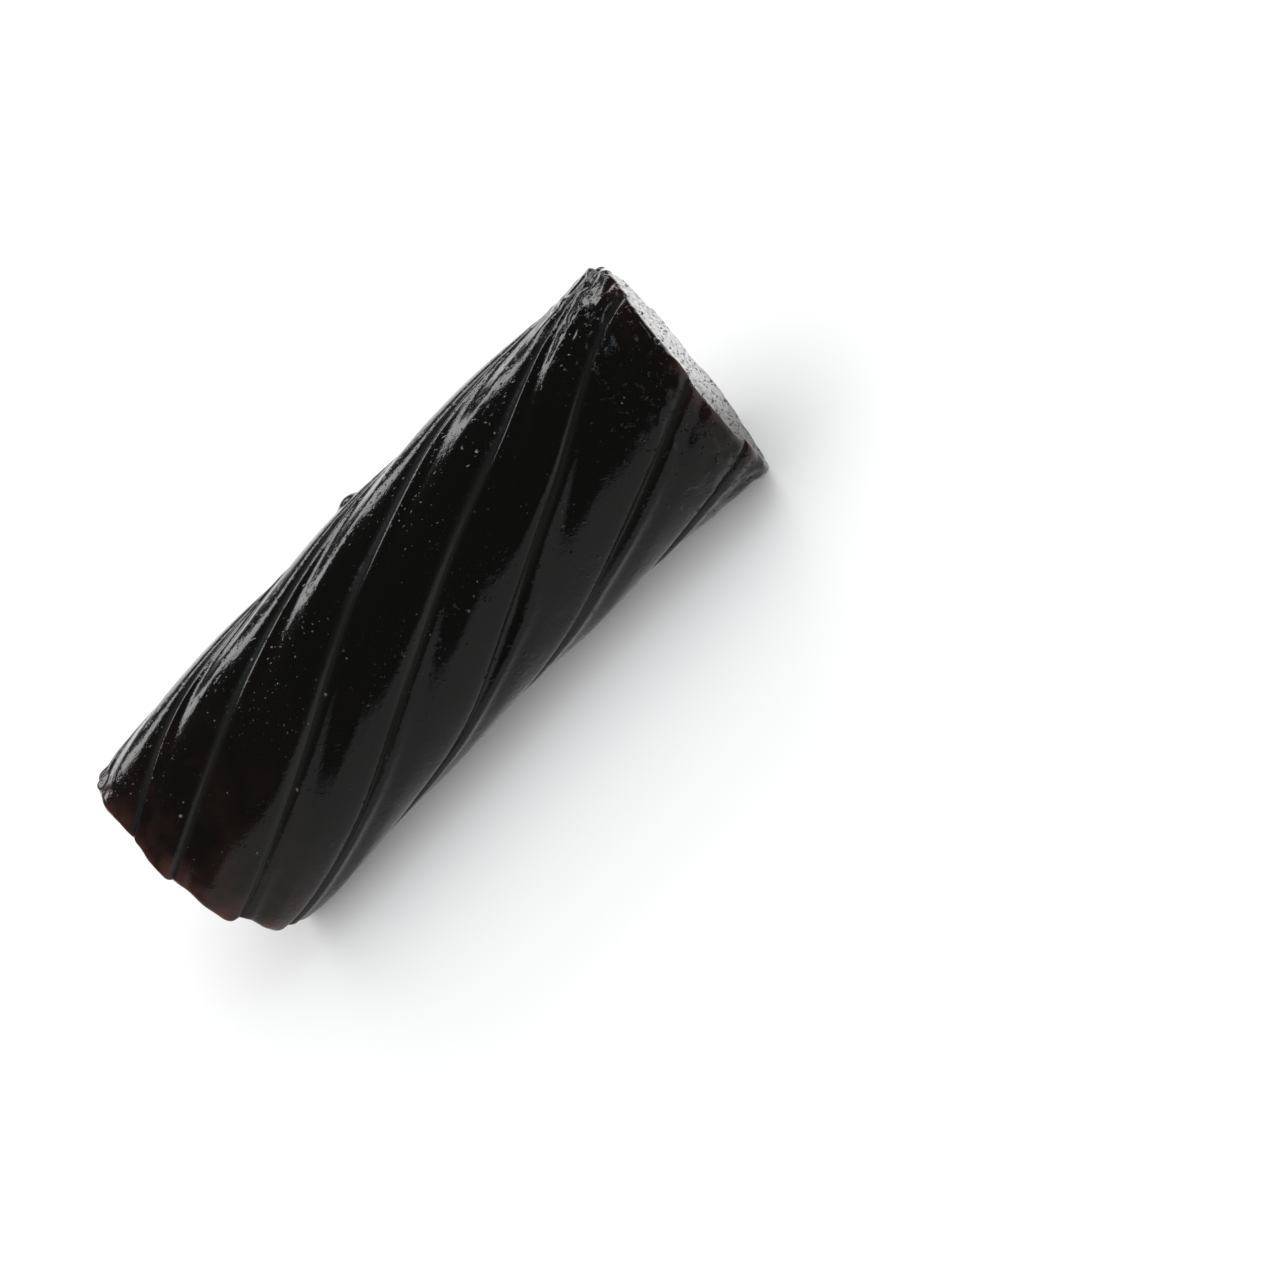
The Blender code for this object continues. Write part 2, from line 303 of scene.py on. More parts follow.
def rope_angle(shape, rib, across, x):
    """Angle round the axis, in radians: the creases on both sides of the rib stray in a sine of x and
    by their own bits, eased from place to place, the place across the rib blends the two creases, and
    the twist adds a turn for each turn length."""
    starts = FIRST_CREASE + np.concatenate(([0.0], np.cumsum(RIB_WIDTHS)))
    stretches = CREASE_STRAYS.shape[1] - 1
    along = np.clip((x / shape.cut_to_cut + 0.5) * stretches, 0.0, stretches)
    knot = np.minimum(along.astype(int), stretches - 1)
    eased = smoothly(along - knot)

    def crease(number):
        own = number % len(RIB_WIDTHS)
        stray = CREASE_STRAYS[own, knot] * (1.0 - eased) + CREASE_STRAYS[own, knot + 1] * eased
        wander = WANDER * np.sin(2.0 * math.pi * x / WANDER_LENGTH + WANDER_PHASE * own)
        return starts[number] + wander + stray

    share = (across + 1.0) / 2.0
    at_middle = crease(rib) * (1.0 - share) + crease(rib + 1) * share
    return np.radians(at_middle + 360.0 * x / shape.turn_length)


def crease_distance(shape, rib, across):
    """Distance over the surface to the nearer crease of the rib."""
    half_width = np.radians(RIB_WIDTHS[rib]) / 2.0 * shape.rope_radius
    return (1.0 - np.abs(across)) * half_width


def straight_ribs(shape, rib, across, x):
    """The same point on a rope without twist: noise read there runs along the ribs."""
    return straight_place(shape, x, untwisted(shape, rope_angle(shape, rib, across, x), x))


def along_ribs(shape, rib, across, x):
    """Distance along the ribs, and the place on a round of the rope's radius without twist. Along a
    rib the distance grows by its slanted length, and across it stays the same."""
    at_middle = untwisted(shape, rope_angle(shape, rib, across, x), x)
    slant = math.atan(2.0 * math.pi * shape.rope_radius / shape.turn_length)
    along = x / math.cos(slant) + shape.rope_radius * at_middle * math.sin(slant)
    return straight_place(shape, along, at_middle)


def rib_profile(shape, rib, across, x, straight, turned):
    """Height of a rib's section over the plain round. Its lower flank falls in a power curve to the
    crease. From there a wall climbs in an eased step to the upper edge of the next rib. That edge is
    a slope that rises in a power curve to the crown, with a bead on it: a bell curve that peaks a bit
    past the wall and is wider below its peak than above. Along the rope noise changes the depth, the
    wall's width and the bead's height, and low on the front the creases gape in a bell curve."""
    crease = (rib + (across > 0.0)) % len(RIB_WIDTHS)
    away = crease_distance(shape, rib, across)
    along = straight * UNEVEN_WAVES
    uneven = lattice_noise(along, shape.seed + 11)
    gape = GAPES[crease] * np.exp(-(degrees_from(GAPE_ANGLE, turned) / GAPE_SPREAD) ** 2)
    waver = lattice_noise(straight * WAVER_WAVES, shape.seed + 12)
    narrow = WALLS[crease] * (1.0 + UNEVEN_WALL * lattice_noise(along * 2.0, shape.seed + 13))
    wall = (narrow + gape) * (1.0 + WAVERING_WALL * waver)
    depth = CREASE_DEPTHS[crease] * (1.0 + UNEVEN_DEPTH * uneven) + GAPE_DEEPENING * gape
    flank = -depth * np.maximum(0.0, 1.0 - away / FLANK_REACH) ** FLANK_POWER
    past = away - wall - BEAD_PAST
    spread = np.where(past < 0.0, BEAD_SPREADS[0], BEAD_SPREADS[1])
    bead = shape.bead_height * (1.0 + UNEVEN_BEAD * uneven) * np.exp(-0.5 * (past / spread) ** 2)
    edge = bead - EDGE_DROP * np.maximum(0.0, 1.0 - away / EDGE_REACH) ** EDGE_POWER
    climb = smoothly(away / wall)
    return np.where(across > 0.0, edge * climb - depth * (1.0 - climb), flank)


def dent_field(shape, straight):
    """Sum of small round dents, each a bell curve of its distance, at seeded places. Some are raised
    instead of pressed in. They crowd towards the right cut."""
    draw = np.random.default_rng(shape.seed)
    field = np.zeros(straight.shape[:-1])
    for _ in range(shape.dents):
        x = (draw.beta(*DENT_CROWDING) - 0.5) * shape.cut_to_cut
        turn = draw.uniform(0.0, 2.0 * math.pi)
        radius = draw.uniform(*DENT_RADII)
        height = radius * draw.uniform(*DENT_DEPTHS) * (1.0 if draw.random() < RAISED_SHARE else -1.0)
        centre = np.array((x, shape.rope_radius * math.cos(turn), shape.rope_radius * math.sin(turn)))
        away = ((straight - centre) ** 2).sum(axis=-1) / radius ** 2
        field += height * np.exp(-away)
    return field


def waves(shape, straight):
    """Three noises added: long waves that follow the ribs, shorter and lower ones, and small bumps that
    are hardly there but get higher, in an eased curve, towards the right cut."""
    long_waves = lattice_noise(straight * LONG_WAVES, shape.seed + 1)
    short_waves = lattice_noise(straight * SHORT_WAVES, shape.seed + 2)
    bumps = lattice_noise(straight * BUMP_WAVES, shape.seed + 3)
    from_right = shape.cut_to_cut / 2.0 - straight[..., 0]
    near_right = smoothly(1.0 - from_right / END_BUMPS_LENGTH)
    return (shape.waviness * (long_waves + SHORT_SHARE * short_waves)
            + (BUMP_SHARE * shape.waviness + END_BUMPS * near_right) * bumps)


def blister(shape, turned, x):
    """One round blister: a dome that falls in a power curve with the square of the distance over the
    surface."""
    place, angle = BLISTER_PLACE
    aside = np.radians(degrees_from(angle, turned)) * shape.rope_radius
    away = np.hypot(aside, x - place)
    return BLISTER * np.maximum(0.0, 1.0 - (away / BLISTER_REACH) ** 2) ** BLISTER_POWER


def surface_radius(shape, rib, across, x):
    """Distance from the axis to the surface: the rope's radius, with each rib lifted by its own bit
    and shaped by its profile, swollen, oval and tapered as in the solid, and then the waves, dents
    and blister of the fine surface."""
    lift = RIB_LIFTS[rib] * (1.0 - across ** 2) ** 2
    turned = rope_angle(shape, rib, across, x)
    at_middle = untwisted(shape, turned, x)
    swell = sum(height * np.sin(around * at_middle + 2.0 * math.pi * x / length + start)
                for height, around, length, start in SWELLS)
    oval = OVAL * np.cos(2.0 * turned)
    taper = TAPER * np.exp(-np.maximum(x + shape.cut_to_cut / 2.0, 0.0) / TAPER_LENGTH)
    from_right = shape.cut_to_cut / 2.0 - x
    for height, angle, spread, reach in END_SWELLS:
        aside = degrees_from(angle, turned)
        swell = swell + height * np.exp(-(aside / spread) ** 2 - (from_right / reach) ** 2)
    straight = straight_ribs(shape, rib, across, x)
    profile = rib_profile(shape, rib, across, x, straight, turned)
    fine = waves(shape, straight) + dent_field(shape, straight) + blister(shape, turned, x)
    return shape.rope_radius + lift + swell + oval + profile - taper + fine


def rope_axis(shape, x):
    """Y of the rope's axis: it bends to the front with the square of the way past the bend's start."""
    past = np.maximum(0.0, x - BEND_START) / (shape.cut_to_cut / 2.0 - BEND_START)
    return -BEND * past ** 2


def rope_point(shape, rib, across, x, radius):
    """The point at a radius on a line of the ribs. What would sink under the table is laid on it, in
    a curve that keeps every point above it."""
    angle = rope_angle(shape, rib, across, x)
    y = rope_axis(shape, x) - radius * np.cos(angle)
    z = AXIS_HEIGHT + radius * np.sin(angle)
    return y, (z + np.sqrt(z * z + UNDERSIDE_SOFTNESS ** 2)) / 2.0


def cut_x(shape, side, y, z):
    """X of a slanted cut at a place y, z."""
    lean_y, lean_z = CUT_LEANS[side]
    return side * shape.cut_to_cut / 2.0 + lean_y * y + lean_z * (z - AXIS_HEIGHT)


def rib_step(side, rib, across):
    """How far a rib stops short of the cut: its own step, tilted across the rib, which turns into
    the next rib's late."""
    steps, tilts = CUT_STEPS[side], CUT_TILTS[side]
    upwards = np.where(across > 0.0, 1, -1)
    neighbour = (rib + upwards) % len(steps)
    beside = steps[neighbour] - upwards * tilts[neighbour]
    share = np.abs(across) ** STEP_POWER / 2.0
    return (steps[rib] + tilts[rib] * across) * (1.0 - share) + beside * share


def end_ring(shape, side, rib, across, turn):
    """One ring of the rounded rim, where turn goes from 0 on the side to a quarter turn on the cut.
    Noise makes the rim a little ragged. X is found by putting it into the rope again a few times."""
    inset = EDGE_ROUND * (1.0 - math.cos(turn))
    x = np.full(rib.shape, side * shape.cut_to_cut / 2.0)
    ragged = lattice_noise(straight_ribs(shape, rib, across, x) * RAGGED_WAVES, shape.seed + 40 + side)
    short = (EDGE_ROUND * (1.0 - math.sin(turn)) + EDGE_RAGGED * ragged * math.sin(turn)
             + rib_step(side, rib, across))
    for _ in range(SOLVING_ROUNDS):
        radius = surface_radius(shape, rib, across, x) - inset
        y, z = rope_point(shape, rib, across, x, radius)
        x = cut_x(shape, side, y, z) - side * short
    return np.stack((x, y, z), axis=-1)


def face_relief(shape, side, places):
    """Low, soft swellings of the cut face, from noise."""
    return FACE_SWELLING * lattice_noise(places * FACE_WAVES, shape.seed + 20 + side)


def face_rings(shape, side, rib, across, rim):
    """Rings of a cut face from near its centre out to the rim. They shrink towards the centre, and
    their X is the slanted cut, with the steps of the ribs near the rim and the relief further in. How
    near the rim a point is goes by the rim's mean radius, so that its bumps don't ripple inwards."""
    share = (np.arange(1, FACE_RINGS + 1) / FACE_RINGS)[:, None]
    centre = rim[:, 1:].mean(axis=0)
    spread = rim[:, 1:] - centre
    y = centre[0] + share * spread[:, 0]
    z = centre[1] + share * spread[:, 1]
    radius = np.hypot(spread[:, 0], spread[:, 1])
    from_rim = radius.mean() - share * radius
    near_rim = 1.0 - smoothly(from_rim / FLAT_INSET)
    flat = cut_x(shape, side, y, z)
    relief = face_relief(shape, side, np.stack((flat, y, z), axis=-1))
    x = flat - side * rib_step(side, rib, across) * near_rim + relief * (1.0 - near_rim)
    return np.stack((x, y, z), axis=-1)


def spokes():
    """Rib and place across it for each spoke. The places crowd towards the creases."""
    even = np.arange(SPOKES_A_RIB) / SPOKES_A_RIB * 2.0 - 1.0
    across = even + SPOKE_CROWDING * np.sin(math.pi * even) / math.pi
    rib = np.repeat(np.arange(len(RIB_WIDTHS)), SPOKES_A_RIB)
    return rib, np.tile(across, len(RIB_WIDTHS))


def rope_grid(shape):
    """Rings of points from near the left cut's centre, over the side, to near the right cut's centre.
    With them go the rib of each spoke, its place across that rib, and how far on a cut each ring is:
    0 on the side, the sine of the turn on the rim, and 1 on the face."""
    rib, across = spokes()
    turns = np.linspace(0.0, math.pi / 2.0, RIM_RINGS)
    left_rim = np.stack([end_ring(shape, -1, rib, across, turn) for turn in turns[::-1]])
    right_rim = np.stack([end_ring(shape, 1, rib, across, turn) for turn in turns])
    left_face = face_rings(shape, -1, rib, across, left_rim[0])[:-1]
    right_face = face_rings(shape, 1, rib, across, right_rim[-1])[-2::-1]

    share = (np.arange(1, SIDE_RINGS) / SIDE_RINGS)[:, None]
    x = left_rim[-1][:, 0] * (1.0 - share) + right_rim[0][:, 0] * share
    ribs = np.broadcast_to(rib, x.shape)
    places = np.broadcast_to(across, x.shape)
    y, z = rope_point(shape, ribs, places, x, surface_radius(shape, ribs, places, x))
    side = np.stack((x, y, z), axis=-1)

    rings = np.concatenate((left_face, left_rim, side, right_rim, right_face))
    on_cut = np.concatenate((np.ones(len(left_face)), np.sin(turns[::-1]), np.zeros(len(side)),
                             np.sin(turns), np.ones(len(right_face))))
    return rib, across, rings, on_cut


def close_rings(rings):
    """Vertices and faces of the closed surface: quads between rings and a fan at each pole."""
    count, around = rings.shape[:2]
    poles = np.stack((rings[0].mean(axis=0), rings[-1].mean(axis=0)))
    vertices = np.concatenate((rings.reshape(-1, 3), poles))
    ring = np.arange(count - 1)[:, None] * around
    spoke = np.arange(around)[None, :]
    following = (spoke + 1) % around
    quads = np.stack((ring + spoke, ring + following,
                      ring + around + following, ring + around + spoke), axis=-1).reshape(-1, 4)
    first, last = count * around, count * around + 1
    top = (count - 1) * around
    left_fan = np.stack((np.full(around, first), following[0], spoke[0]), axis=-1)
    right_fan = np.stack((np.full(around, last), top + spoke[0], top + following[0]), axis=-1)
    return vertices, quads, np.concatenate((left_fan, right_fan))


def signed_volume(vertices, quads, fans):
    """Volume by the sum of the tetrahedra to the origin: negative if the faces point inwards."""
    triangles = np.concatenate((quads[:, (0, 1, 2)], quads[:, (0, 2, 3)], fans))
    a, b, c = (vertices[triangles[:, corner]] for corner in range(3))
    return np.einsum("ij,ij->i", a, np.cross(b, c)).sum() / 6.0


def mesh_from_arrays(name, vertices, quads, fans):
    """Fills a mesh with whole arrays of vertices, four-sided and three-sided faces."""
    if signed_volume(vertices, quads, fans) < 0.0:
        quads, fans = quads[:, ::-1], fans[:, ::-1]
    corners = np.concatenate((quads.ravel(), fans.ravel())).astype(np.int32)
    sides = np.concatenate((np.full(len(quads), 4), np.full(len(fans), 3)))
    starts = np.concatenate(([0], np.cumsum(sides)[:-1])).astype(np.int32)
    mesh = bpy.data.meshes.new(name)
    mesh.vertices.add(len(vertices))
    mesh.loops.add(len(corners))
    mesh.polygons.add(len(sides))
    mesh.vertices.foreach_set("co", vertices.astype(np.float32).ravel())
    mesh.loops.foreach_set("vertex_index", corners)
    mesh.polygons.foreach_set("loop_start", starts)
    mesh.polygons.foreach_set("use_smooth", np.ones(len(sides), dtype=bool))
    mesh.update(calc_edges=True)
    if mesh.validate():
        raise RuntimeError(f"the mesh of {name} had faults that Blender had to mend")
    return mesh


def surface_values(shape, ribs, places, rings, on_face):
    """What the materials read, from 0 to 1. Rim: how thin the edge is, for the painted glow of light
    through it, by falling exponentials of the distance to each cut on the side and to the outline on the
    faces, and 1 at the blister's top. Bumpy end: eased up towards the right cut. Crease: a bell curve
    of the distance to a crease, for the painted paler colour and the dullness there."""
    x, y, z = rings[..., 0], rings[..., 1], rings[..., 2]
    left_gap = x - cut_x(shape, -1, y, z)
    right_gap = cut_x(shape, 1, y, z) - x
    left_glow = np.maximum(np.exp(-left_gap / LEFT_GLOW), WIDE_SHARE * np.exp(-left_gap / WIDE_GLOW))
    side_glow = np.maximum(left_glow, RIGHT_SHARE * np.exp(-right_gap / RIGHT_GLOW))
    centre = rings[[0, -1]].mean(axis=(0, 1))
    inside = shape.rope_radius - np.hypot(y - centre[1], z - centre[2])
    face_glow = np.exp(-np.maximum(inside, 0.0) / FACE_GLOW)
    blistered = blister(shape, rope_angle(shape, ribs, places, x), x) / BLISTER
    away = crease_distance(shape, ribs, places)
    return {"rim": np.maximum(np.where(on_face > 0.99, face_glow, side_glow), blistered),
            "crease": np.exp(-(away / CREASE_SPREAD) ** 2) * (1.0 - on_face),
            "bumpy_end": smoothly(1.0 - right_gap / BUMPY_END)}


def store_values(mesh, name, values):
    """A number or a place for each point of the rings, and their mean over the nearest ring for each
    pole, which a material reads as an attribute."""
    at_poles = values[[0, -1]].mean(axis=1)
    flat = np.concatenate((values.ravel(), at_poles.ravel())).astype(np.float32)
    kind, field = ("FLOAT", "value") if values.ndim == 2 else ("FLOAT_VECTOR", "vector")
    mesh.attributes.new(name, kind, "POINT").data.foreach_set(field, flat)


def set_inputs(tree, made, inputs):
    """Gives each of a node's inputs, by name or number, its value or a link from another's output."""
    for name, given in inputs.items():
        if isinstance(given, bpy.types.NodeSocket):
            tree.links.new(given, made.inputs[name])
        else:
            made.inputs[name].default_value = given


def node(tree, kind, place, inputs=None, **settings):
    """A new node at a place in the tree, with its settings and then its inputs."""
    made = tree.nodes.new(kind)
    made.location = place
    for name, value in settings.items():
        setattr(made, name, value)
    set_inputs(tree, made, inputs or {})
    return made


def maths(tree, place, operation, *inputs, **settings):
    """The output of a Math node that works on numbers or on other nodes' outputs."""
    made = node(tree, "ShaderNodeMath", place, dict(enumerate(inputs)), operation=operation, **settings)
    return made.outputs["Value"]


def ranged(tree, place, value, low, high, to_low=0.0, to_high=1.0, eased=False):
    """The output of a Map Range node: low becomes to_low and high to_high, straight or eased between."""
    inputs = {"Value": value, "From Min": low, "From Max": high, "To Min": to_low, "To Max": to_high}
    between = "SMOOTHSTEP" if eased else "LINEAR"
    return node(tree, "ShaderNodeMapRange", place, inputs, interpolation_type=between).outputs["Result"]


def noise(tree, place, vector, scale, detail):
    """The output of a Noise node that is read at a vector."""
    inputs = {"Vector": vector, "Scale": scale, "Detail": detail}
    return node(tree, "ShaderNodeTexNoise", place, inputs).outputs["Fac"]


def stretched_noise(tree, place, vector, scale, detail):
    """Noise read at a vector that is scaled by its own factor along each of its three numbers."""
    stretch = node(tree, "ShaderNodeMapping", place, {"Vector": vector, "Scale": scale})
    return noise(tree, (place[0] + 250, place[1]), stretch.outputs["Vector"], 1.0, detail)


def mixed(tree, place, share, first, second):
    """The output of a Mix node for two colours, each given as three numbers or another's output."""
    first, second = (given if isinstance(given, bpy.types.NodeSocket) else (*given, 1.0)
                     for given in (first, second))
    inputs = {"Factor": share, "A": first, "B": second}
    return node(tree, "ShaderNodeMix", place, inputs, data_type="RGBA").outputs["Result"]


def attribute(tree, place, name, output="Fac"):
    """An attribute that was stored on the mesh."""
    return node(tree, "ShaderNodeAttribute", place, attribute_name=name).outputs[output]


def object_place(tree, place):
    """The place in the coordinates of the object itself."""
    return node(tree, "ShaderNodeTexCoord", place).outputs["Object"]


def height_of(tree, place, group, inputs):
    """The height that a node group puts out for its inputs."""
    return node(tree, "ShaderNodeGroup", place, inputs, node_tree=group).outputs["Height"]


def bump(tree, place, distance, height, normal=None, **settings):
    """The normal of a Bump node for a height in metres, on top of another normal if given."""
    inputs = {"Strength": 1.0, "Distance": distance, "Height": height}
    if normal is not None:
        inputs["Normal"] = normal
    return node(tree, "ShaderNodeBump", place, inputs, **settings).outputs["Normal"]


def new_material(name):
    """A material, with its node tree and its Principled shader."""
    material = bpy.data.materials.new(name)
    material.use_nodes = True
    return material, material.node_tree, material.node_tree.nodes["Principled BSDF"]


def new_group(name, inputs, outputs):
    """An empty shader node group with number or vector sockets."""
    group = bpy.data.node_groups.new(name, "ShaderNodeTree")
    for label, kind, value in inputs:
        socket = group.interface.new_socket(label, in_out="INPUT", socket_type=kind)
        if kind == "NodeSocketFloat":
            socket.default_value = value
    for label in outputs:
        group.interface.new_socket(label, in_out="OUTPUT", socket_type="NodeSocketFloat")
    return group


def pore_group():
    """Pores: the cells of a Voronoi pattern, of which a share has a pit with a soft edge. The place is
    warped by noise first, so that no pit is quite round. Puts out the height, which is 0 on the
    surface and -1 at the bottom of a pit."""
    group = new_group("pores", (("Vector", "NodeSocketVector", None),
                                ("Warp", "NodeSocketFloat", 0.0003),
                                ("Cells", "NodeSocketFloat", 800.0),
                                ("Share", "NodeSocketFloat", 0.3),
                                ("Radius", "NodeSocketFloat", 0.25)), ("Height",))
    given = node(group, "NodeGroupInput", (-900, 0)).outputs
    swirl = node(group, "ShaderNodeTexNoise", (-900, 400),
                 {"Vector": given["Vector"], "Scale": 3200.0, "Detail": 1.0})
    centred = node(group, "ShaderNodeVectorMath", (-700, 400),
                   {0: swirl.outputs["Color"], 1: (0.5, 0.5, 0.5)}, operation="SUBTRACT")
    pushed = node(group, "ShaderNodeVectorMath", (-520, 400),
                  {0: centred.outputs["Vector"], "Scale": given["Warp"]}, operation="SCALE")
    warped = node(group, "ShaderNodeVectorMath", (-340, 400),
                  {0: given["Vector"], 1: pushed.outputs["Vector"]}, operation="ADD")
    cells = node(group, "ShaderNodeTexVoronoi", (-650, 100),
                 {"Vector": warped.outputs["Vector"], "Scale": given["Cells"]}, feature="F1")
    lottery = node(group, "ShaderNodeSeparateColor", (-420, -120), {"Color": cells.outputs["Color"]})
    chosen = maths(group, (-220, -120), "LESS_THAN", lottery.outputs["Red"], given["Share"])
    spread = maths(group, (-220, -300), "MULTIPLY_ADD", lottery.outputs["Green"], 0.7, 0.3)
    size = maths(group, (-60, -300), "MULTIPLY", spread, given["Radius"])
    depth = ranged(group, (120, 100), cells.outputs["Distance"], 0.0, size, -1.0, 0.0, eased=True)
    kept = maths(group, (320, 0), "MULTIPLY", depth, chosen)
    node(group, "NodeGroupOutput", (700, 0), {"Height": kept})
    return group


def grain_group():
    """Grain: two sizes of noise added, the finer one at a lower height. Puts out the height."""
    group = new_group("grain", (("Vector", "NodeSocketVector", None),
                                ("Scale", "NodeSocketFloat", 1500.0),
                                ("Fine share", "NodeSocketFloat", 0.35)), ("Height",))
    given = node(group, "NodeGroupInput", (-700, 0)).outputs
    coarse = noise(group, (-400, 150), given["Vector"], given["Scale"], 2.0)
    finer = maths(group, (-560, -160), "MULTIPLY", given["Scale"], 3.1)
    fine = noise(group, (-400, -160), given["Vector"], finer, 1.0)
    both = maths(group, (100, 0), "MULTIPLY_ADD", fine, given["Fine share"], coarse)
    node(group, "NodeGroupOutput", (500, 0), {"Height": both})
    return group


def skin_material(finish, pores, grain):
    """The glossy side of the rope: near black, with a painted brown glow, in patches, of light coming
    through the thin rim, and duller in the creases, where a paler colour is painted light that lifts
    their dark lines. It has streaks along the ribs, wrinkles across them that come in patches and are
    calmer on top, grain, and pits and pimples that crowd in patches and towards the right end, where
    flecks and lumps join them. On top the pimples get painted glints: pale specks of two sizes, shown
    only high on the rope, where light would catch them."""
    material, tree, shader = new_material("licorice_skin")
    place = object_place(tree, (-1600, 300))
    along = attribute(tree, (-1600, 0), "along_ribs", "Vector")
    rim = attribute(tree, (-1600, 600), "rim")
    crease = attribute(tree, (-1350, 250), "crease")
    bumpy = attribute(tree, (-1600, -500), "bumpy_end")
    height = node(tree, "ShaderNodeSeparateXYZ", (-1300, 480), {"Vector": place}).outputs["Z"]
    above = ranged(tree, (-1100, 500), height, 0.0085, 0.0115)

    streaks = stretched_noise(tree, (-1350, 100), along, (140.0, 1500.0, 1500.0), 3.0)
    folds = stretched_noise(tree, (-1350, -150), along, (4300.0, 2100.0, 2100.0), 3.0)
    calm = noise(tree, (-1350, -300), place, 330.0, 1.0)
    wrinkly = ranged(tree, (-1150, -300), calm, 0.42, 0.60, 0.25, eased=True)
    in_patches = maths(tree, (-950, -300), "MULTIPLY", folds, wrinkly)
    calmer = maths(tree, (-950, -100), "MULTIPLY_ADD", above, -0.65, 1.0)
    wrinkles = maths(tree, (-800, -100), "MULTIPLY", in_patches, calmer)

    crowds = noise(tree, (-1600, -800), place, 160.0, 2.0)
    crowded = ranged(tree, (-1400, -800), crowds, 0.46, 0.62, 0.05, 0.95)
    share = maths(tree, (-1350, -500), "MULTIPLY_ADD", bumpy, 0.35, crowded)
    lump_share = maths(tree, (-1350, -1350), "MULTIPLY", bumpy, 0.75)
    fine = height_of(tree, (-1100, -250), grain, {"Vector": place, "Scale": 2400.0, "Fine share": 0.4})
    pits, pimples, tiny = (
        height_of(tree, at, pores, {"Vector": place, "Cells": cells, "Share": share, "Radius": radius})
        for at, cells, radius in (((-1100, -450), 950.0, 0.19), ((-1100, -700), 1150.0, 0.23),
                                  ((-1100, -950), 2500.0, 0.27)))
    lumps = height_of(tree, (-1100, -1350), pores, {"Vector": place, "Warp": 0.0009, "Cells": 800.0,
                                                    "Share": lump_share, "Radius": 0.36})
    small = maths(tree, (-850, -750), "MULTIPLY_ADD", tiny, 0.5, pimples)
    raised = maths(tree, (-700, -750), "MULTIPLY_ADD", lumps, 2.2, small)

    spots = stretched_noise(tree, (-1350, -1000), along, (2100.0, 1500.0, 1500.0), 2.0)
    fleck = ranged(tree, (-850, -1000), spots, 0.60, 0.76, eased=True)
    at_end = maths(tree, (-850, -1200), "MULTIPLY_ADD", bumpy, 0.9, 0.12)
    flecks = maths(tree, (-650, -1000), "MULTIPLY", fleck, at_end)

    patches = noise(tree, (-1300, 700), place, 380.0, 3.0)
    patchy = ranged(tree, (-1100, 700), patches, 0.42, 0.66, 0.20, 1.15)
    thin = maths(tree, (-900, 650), "MULTIPLY", rim, patchy)
    # Painted glow: brown, in patches, where light would come through the thin rim
    glowing_through = mixed(tree, (-650, 600), thin, finish.black, finish.brown)
    # Painted light: the creases are made paler, so that their dark lines come out lighter
    creases_lifted = mixed(tree, (-520, 800), crease, glowing_through, finish.crease)
    # Painted glints: the tops of the pimples are made pale, only high on the rope where light would catch
    # them, in varied strength
    glint_tops = ranged(tree, (-1100, 420), small, -0.15, -0.75)
    shown = maths(tree, (-880, 480), "MULTIPLY", glint_tops, above)
    vary = noise(tree, (-1300, 550), place, 1100.0, 0.0)
    varied = ranged(tree, (-1100, 600), vary, 0.35, 0.62, 0.06)
    pale = maths(tree, (-700, 480), "MULTIPLY", shown, varied)
    colour = mixed(tree, (-400, 600), pale, creases_lifted, finish.glint)

    dull = ranged(tree, (-850, 100), streaks, 0.3, 0.75, finish.gloss - 0.03, finish.gloss + 0.03)
    duller = maths(tree, (-600, 100), "MULTIPLY_ADD", crease, 0.30, dull)
    rough = maths(tree, (-400, 100), "MULTIPLY_ADD", pits, -0.45, duller, use_clamp=True)

    normal = bump(tree, (-900, -150), STREAK_HEIGHT, streaks)
    normal = bump(tree, (-750, -250), WRINKLE_HEIGHT, wrinkles, normal)
    normal = bump(tree, (-600, -350), GRAIN_HEIGHT, fine, normal)
    normal = bump(tree, (-450, -450), PIT_DEPTH, pits, normal)
    normal = bump(tree, (-300, -550), PIMPLE_HEIGHT, raised, normal, invert=True)
    normal = bump(tree, (-150, -650), FLECK_HEIGHT, flecks, normal)
    set_inputs(tree, shader, {"Base Color": colour, "Roughness": rough, "Normal": normal})
    material.diffuse_color = (*finish.black, 1.0)
    return material


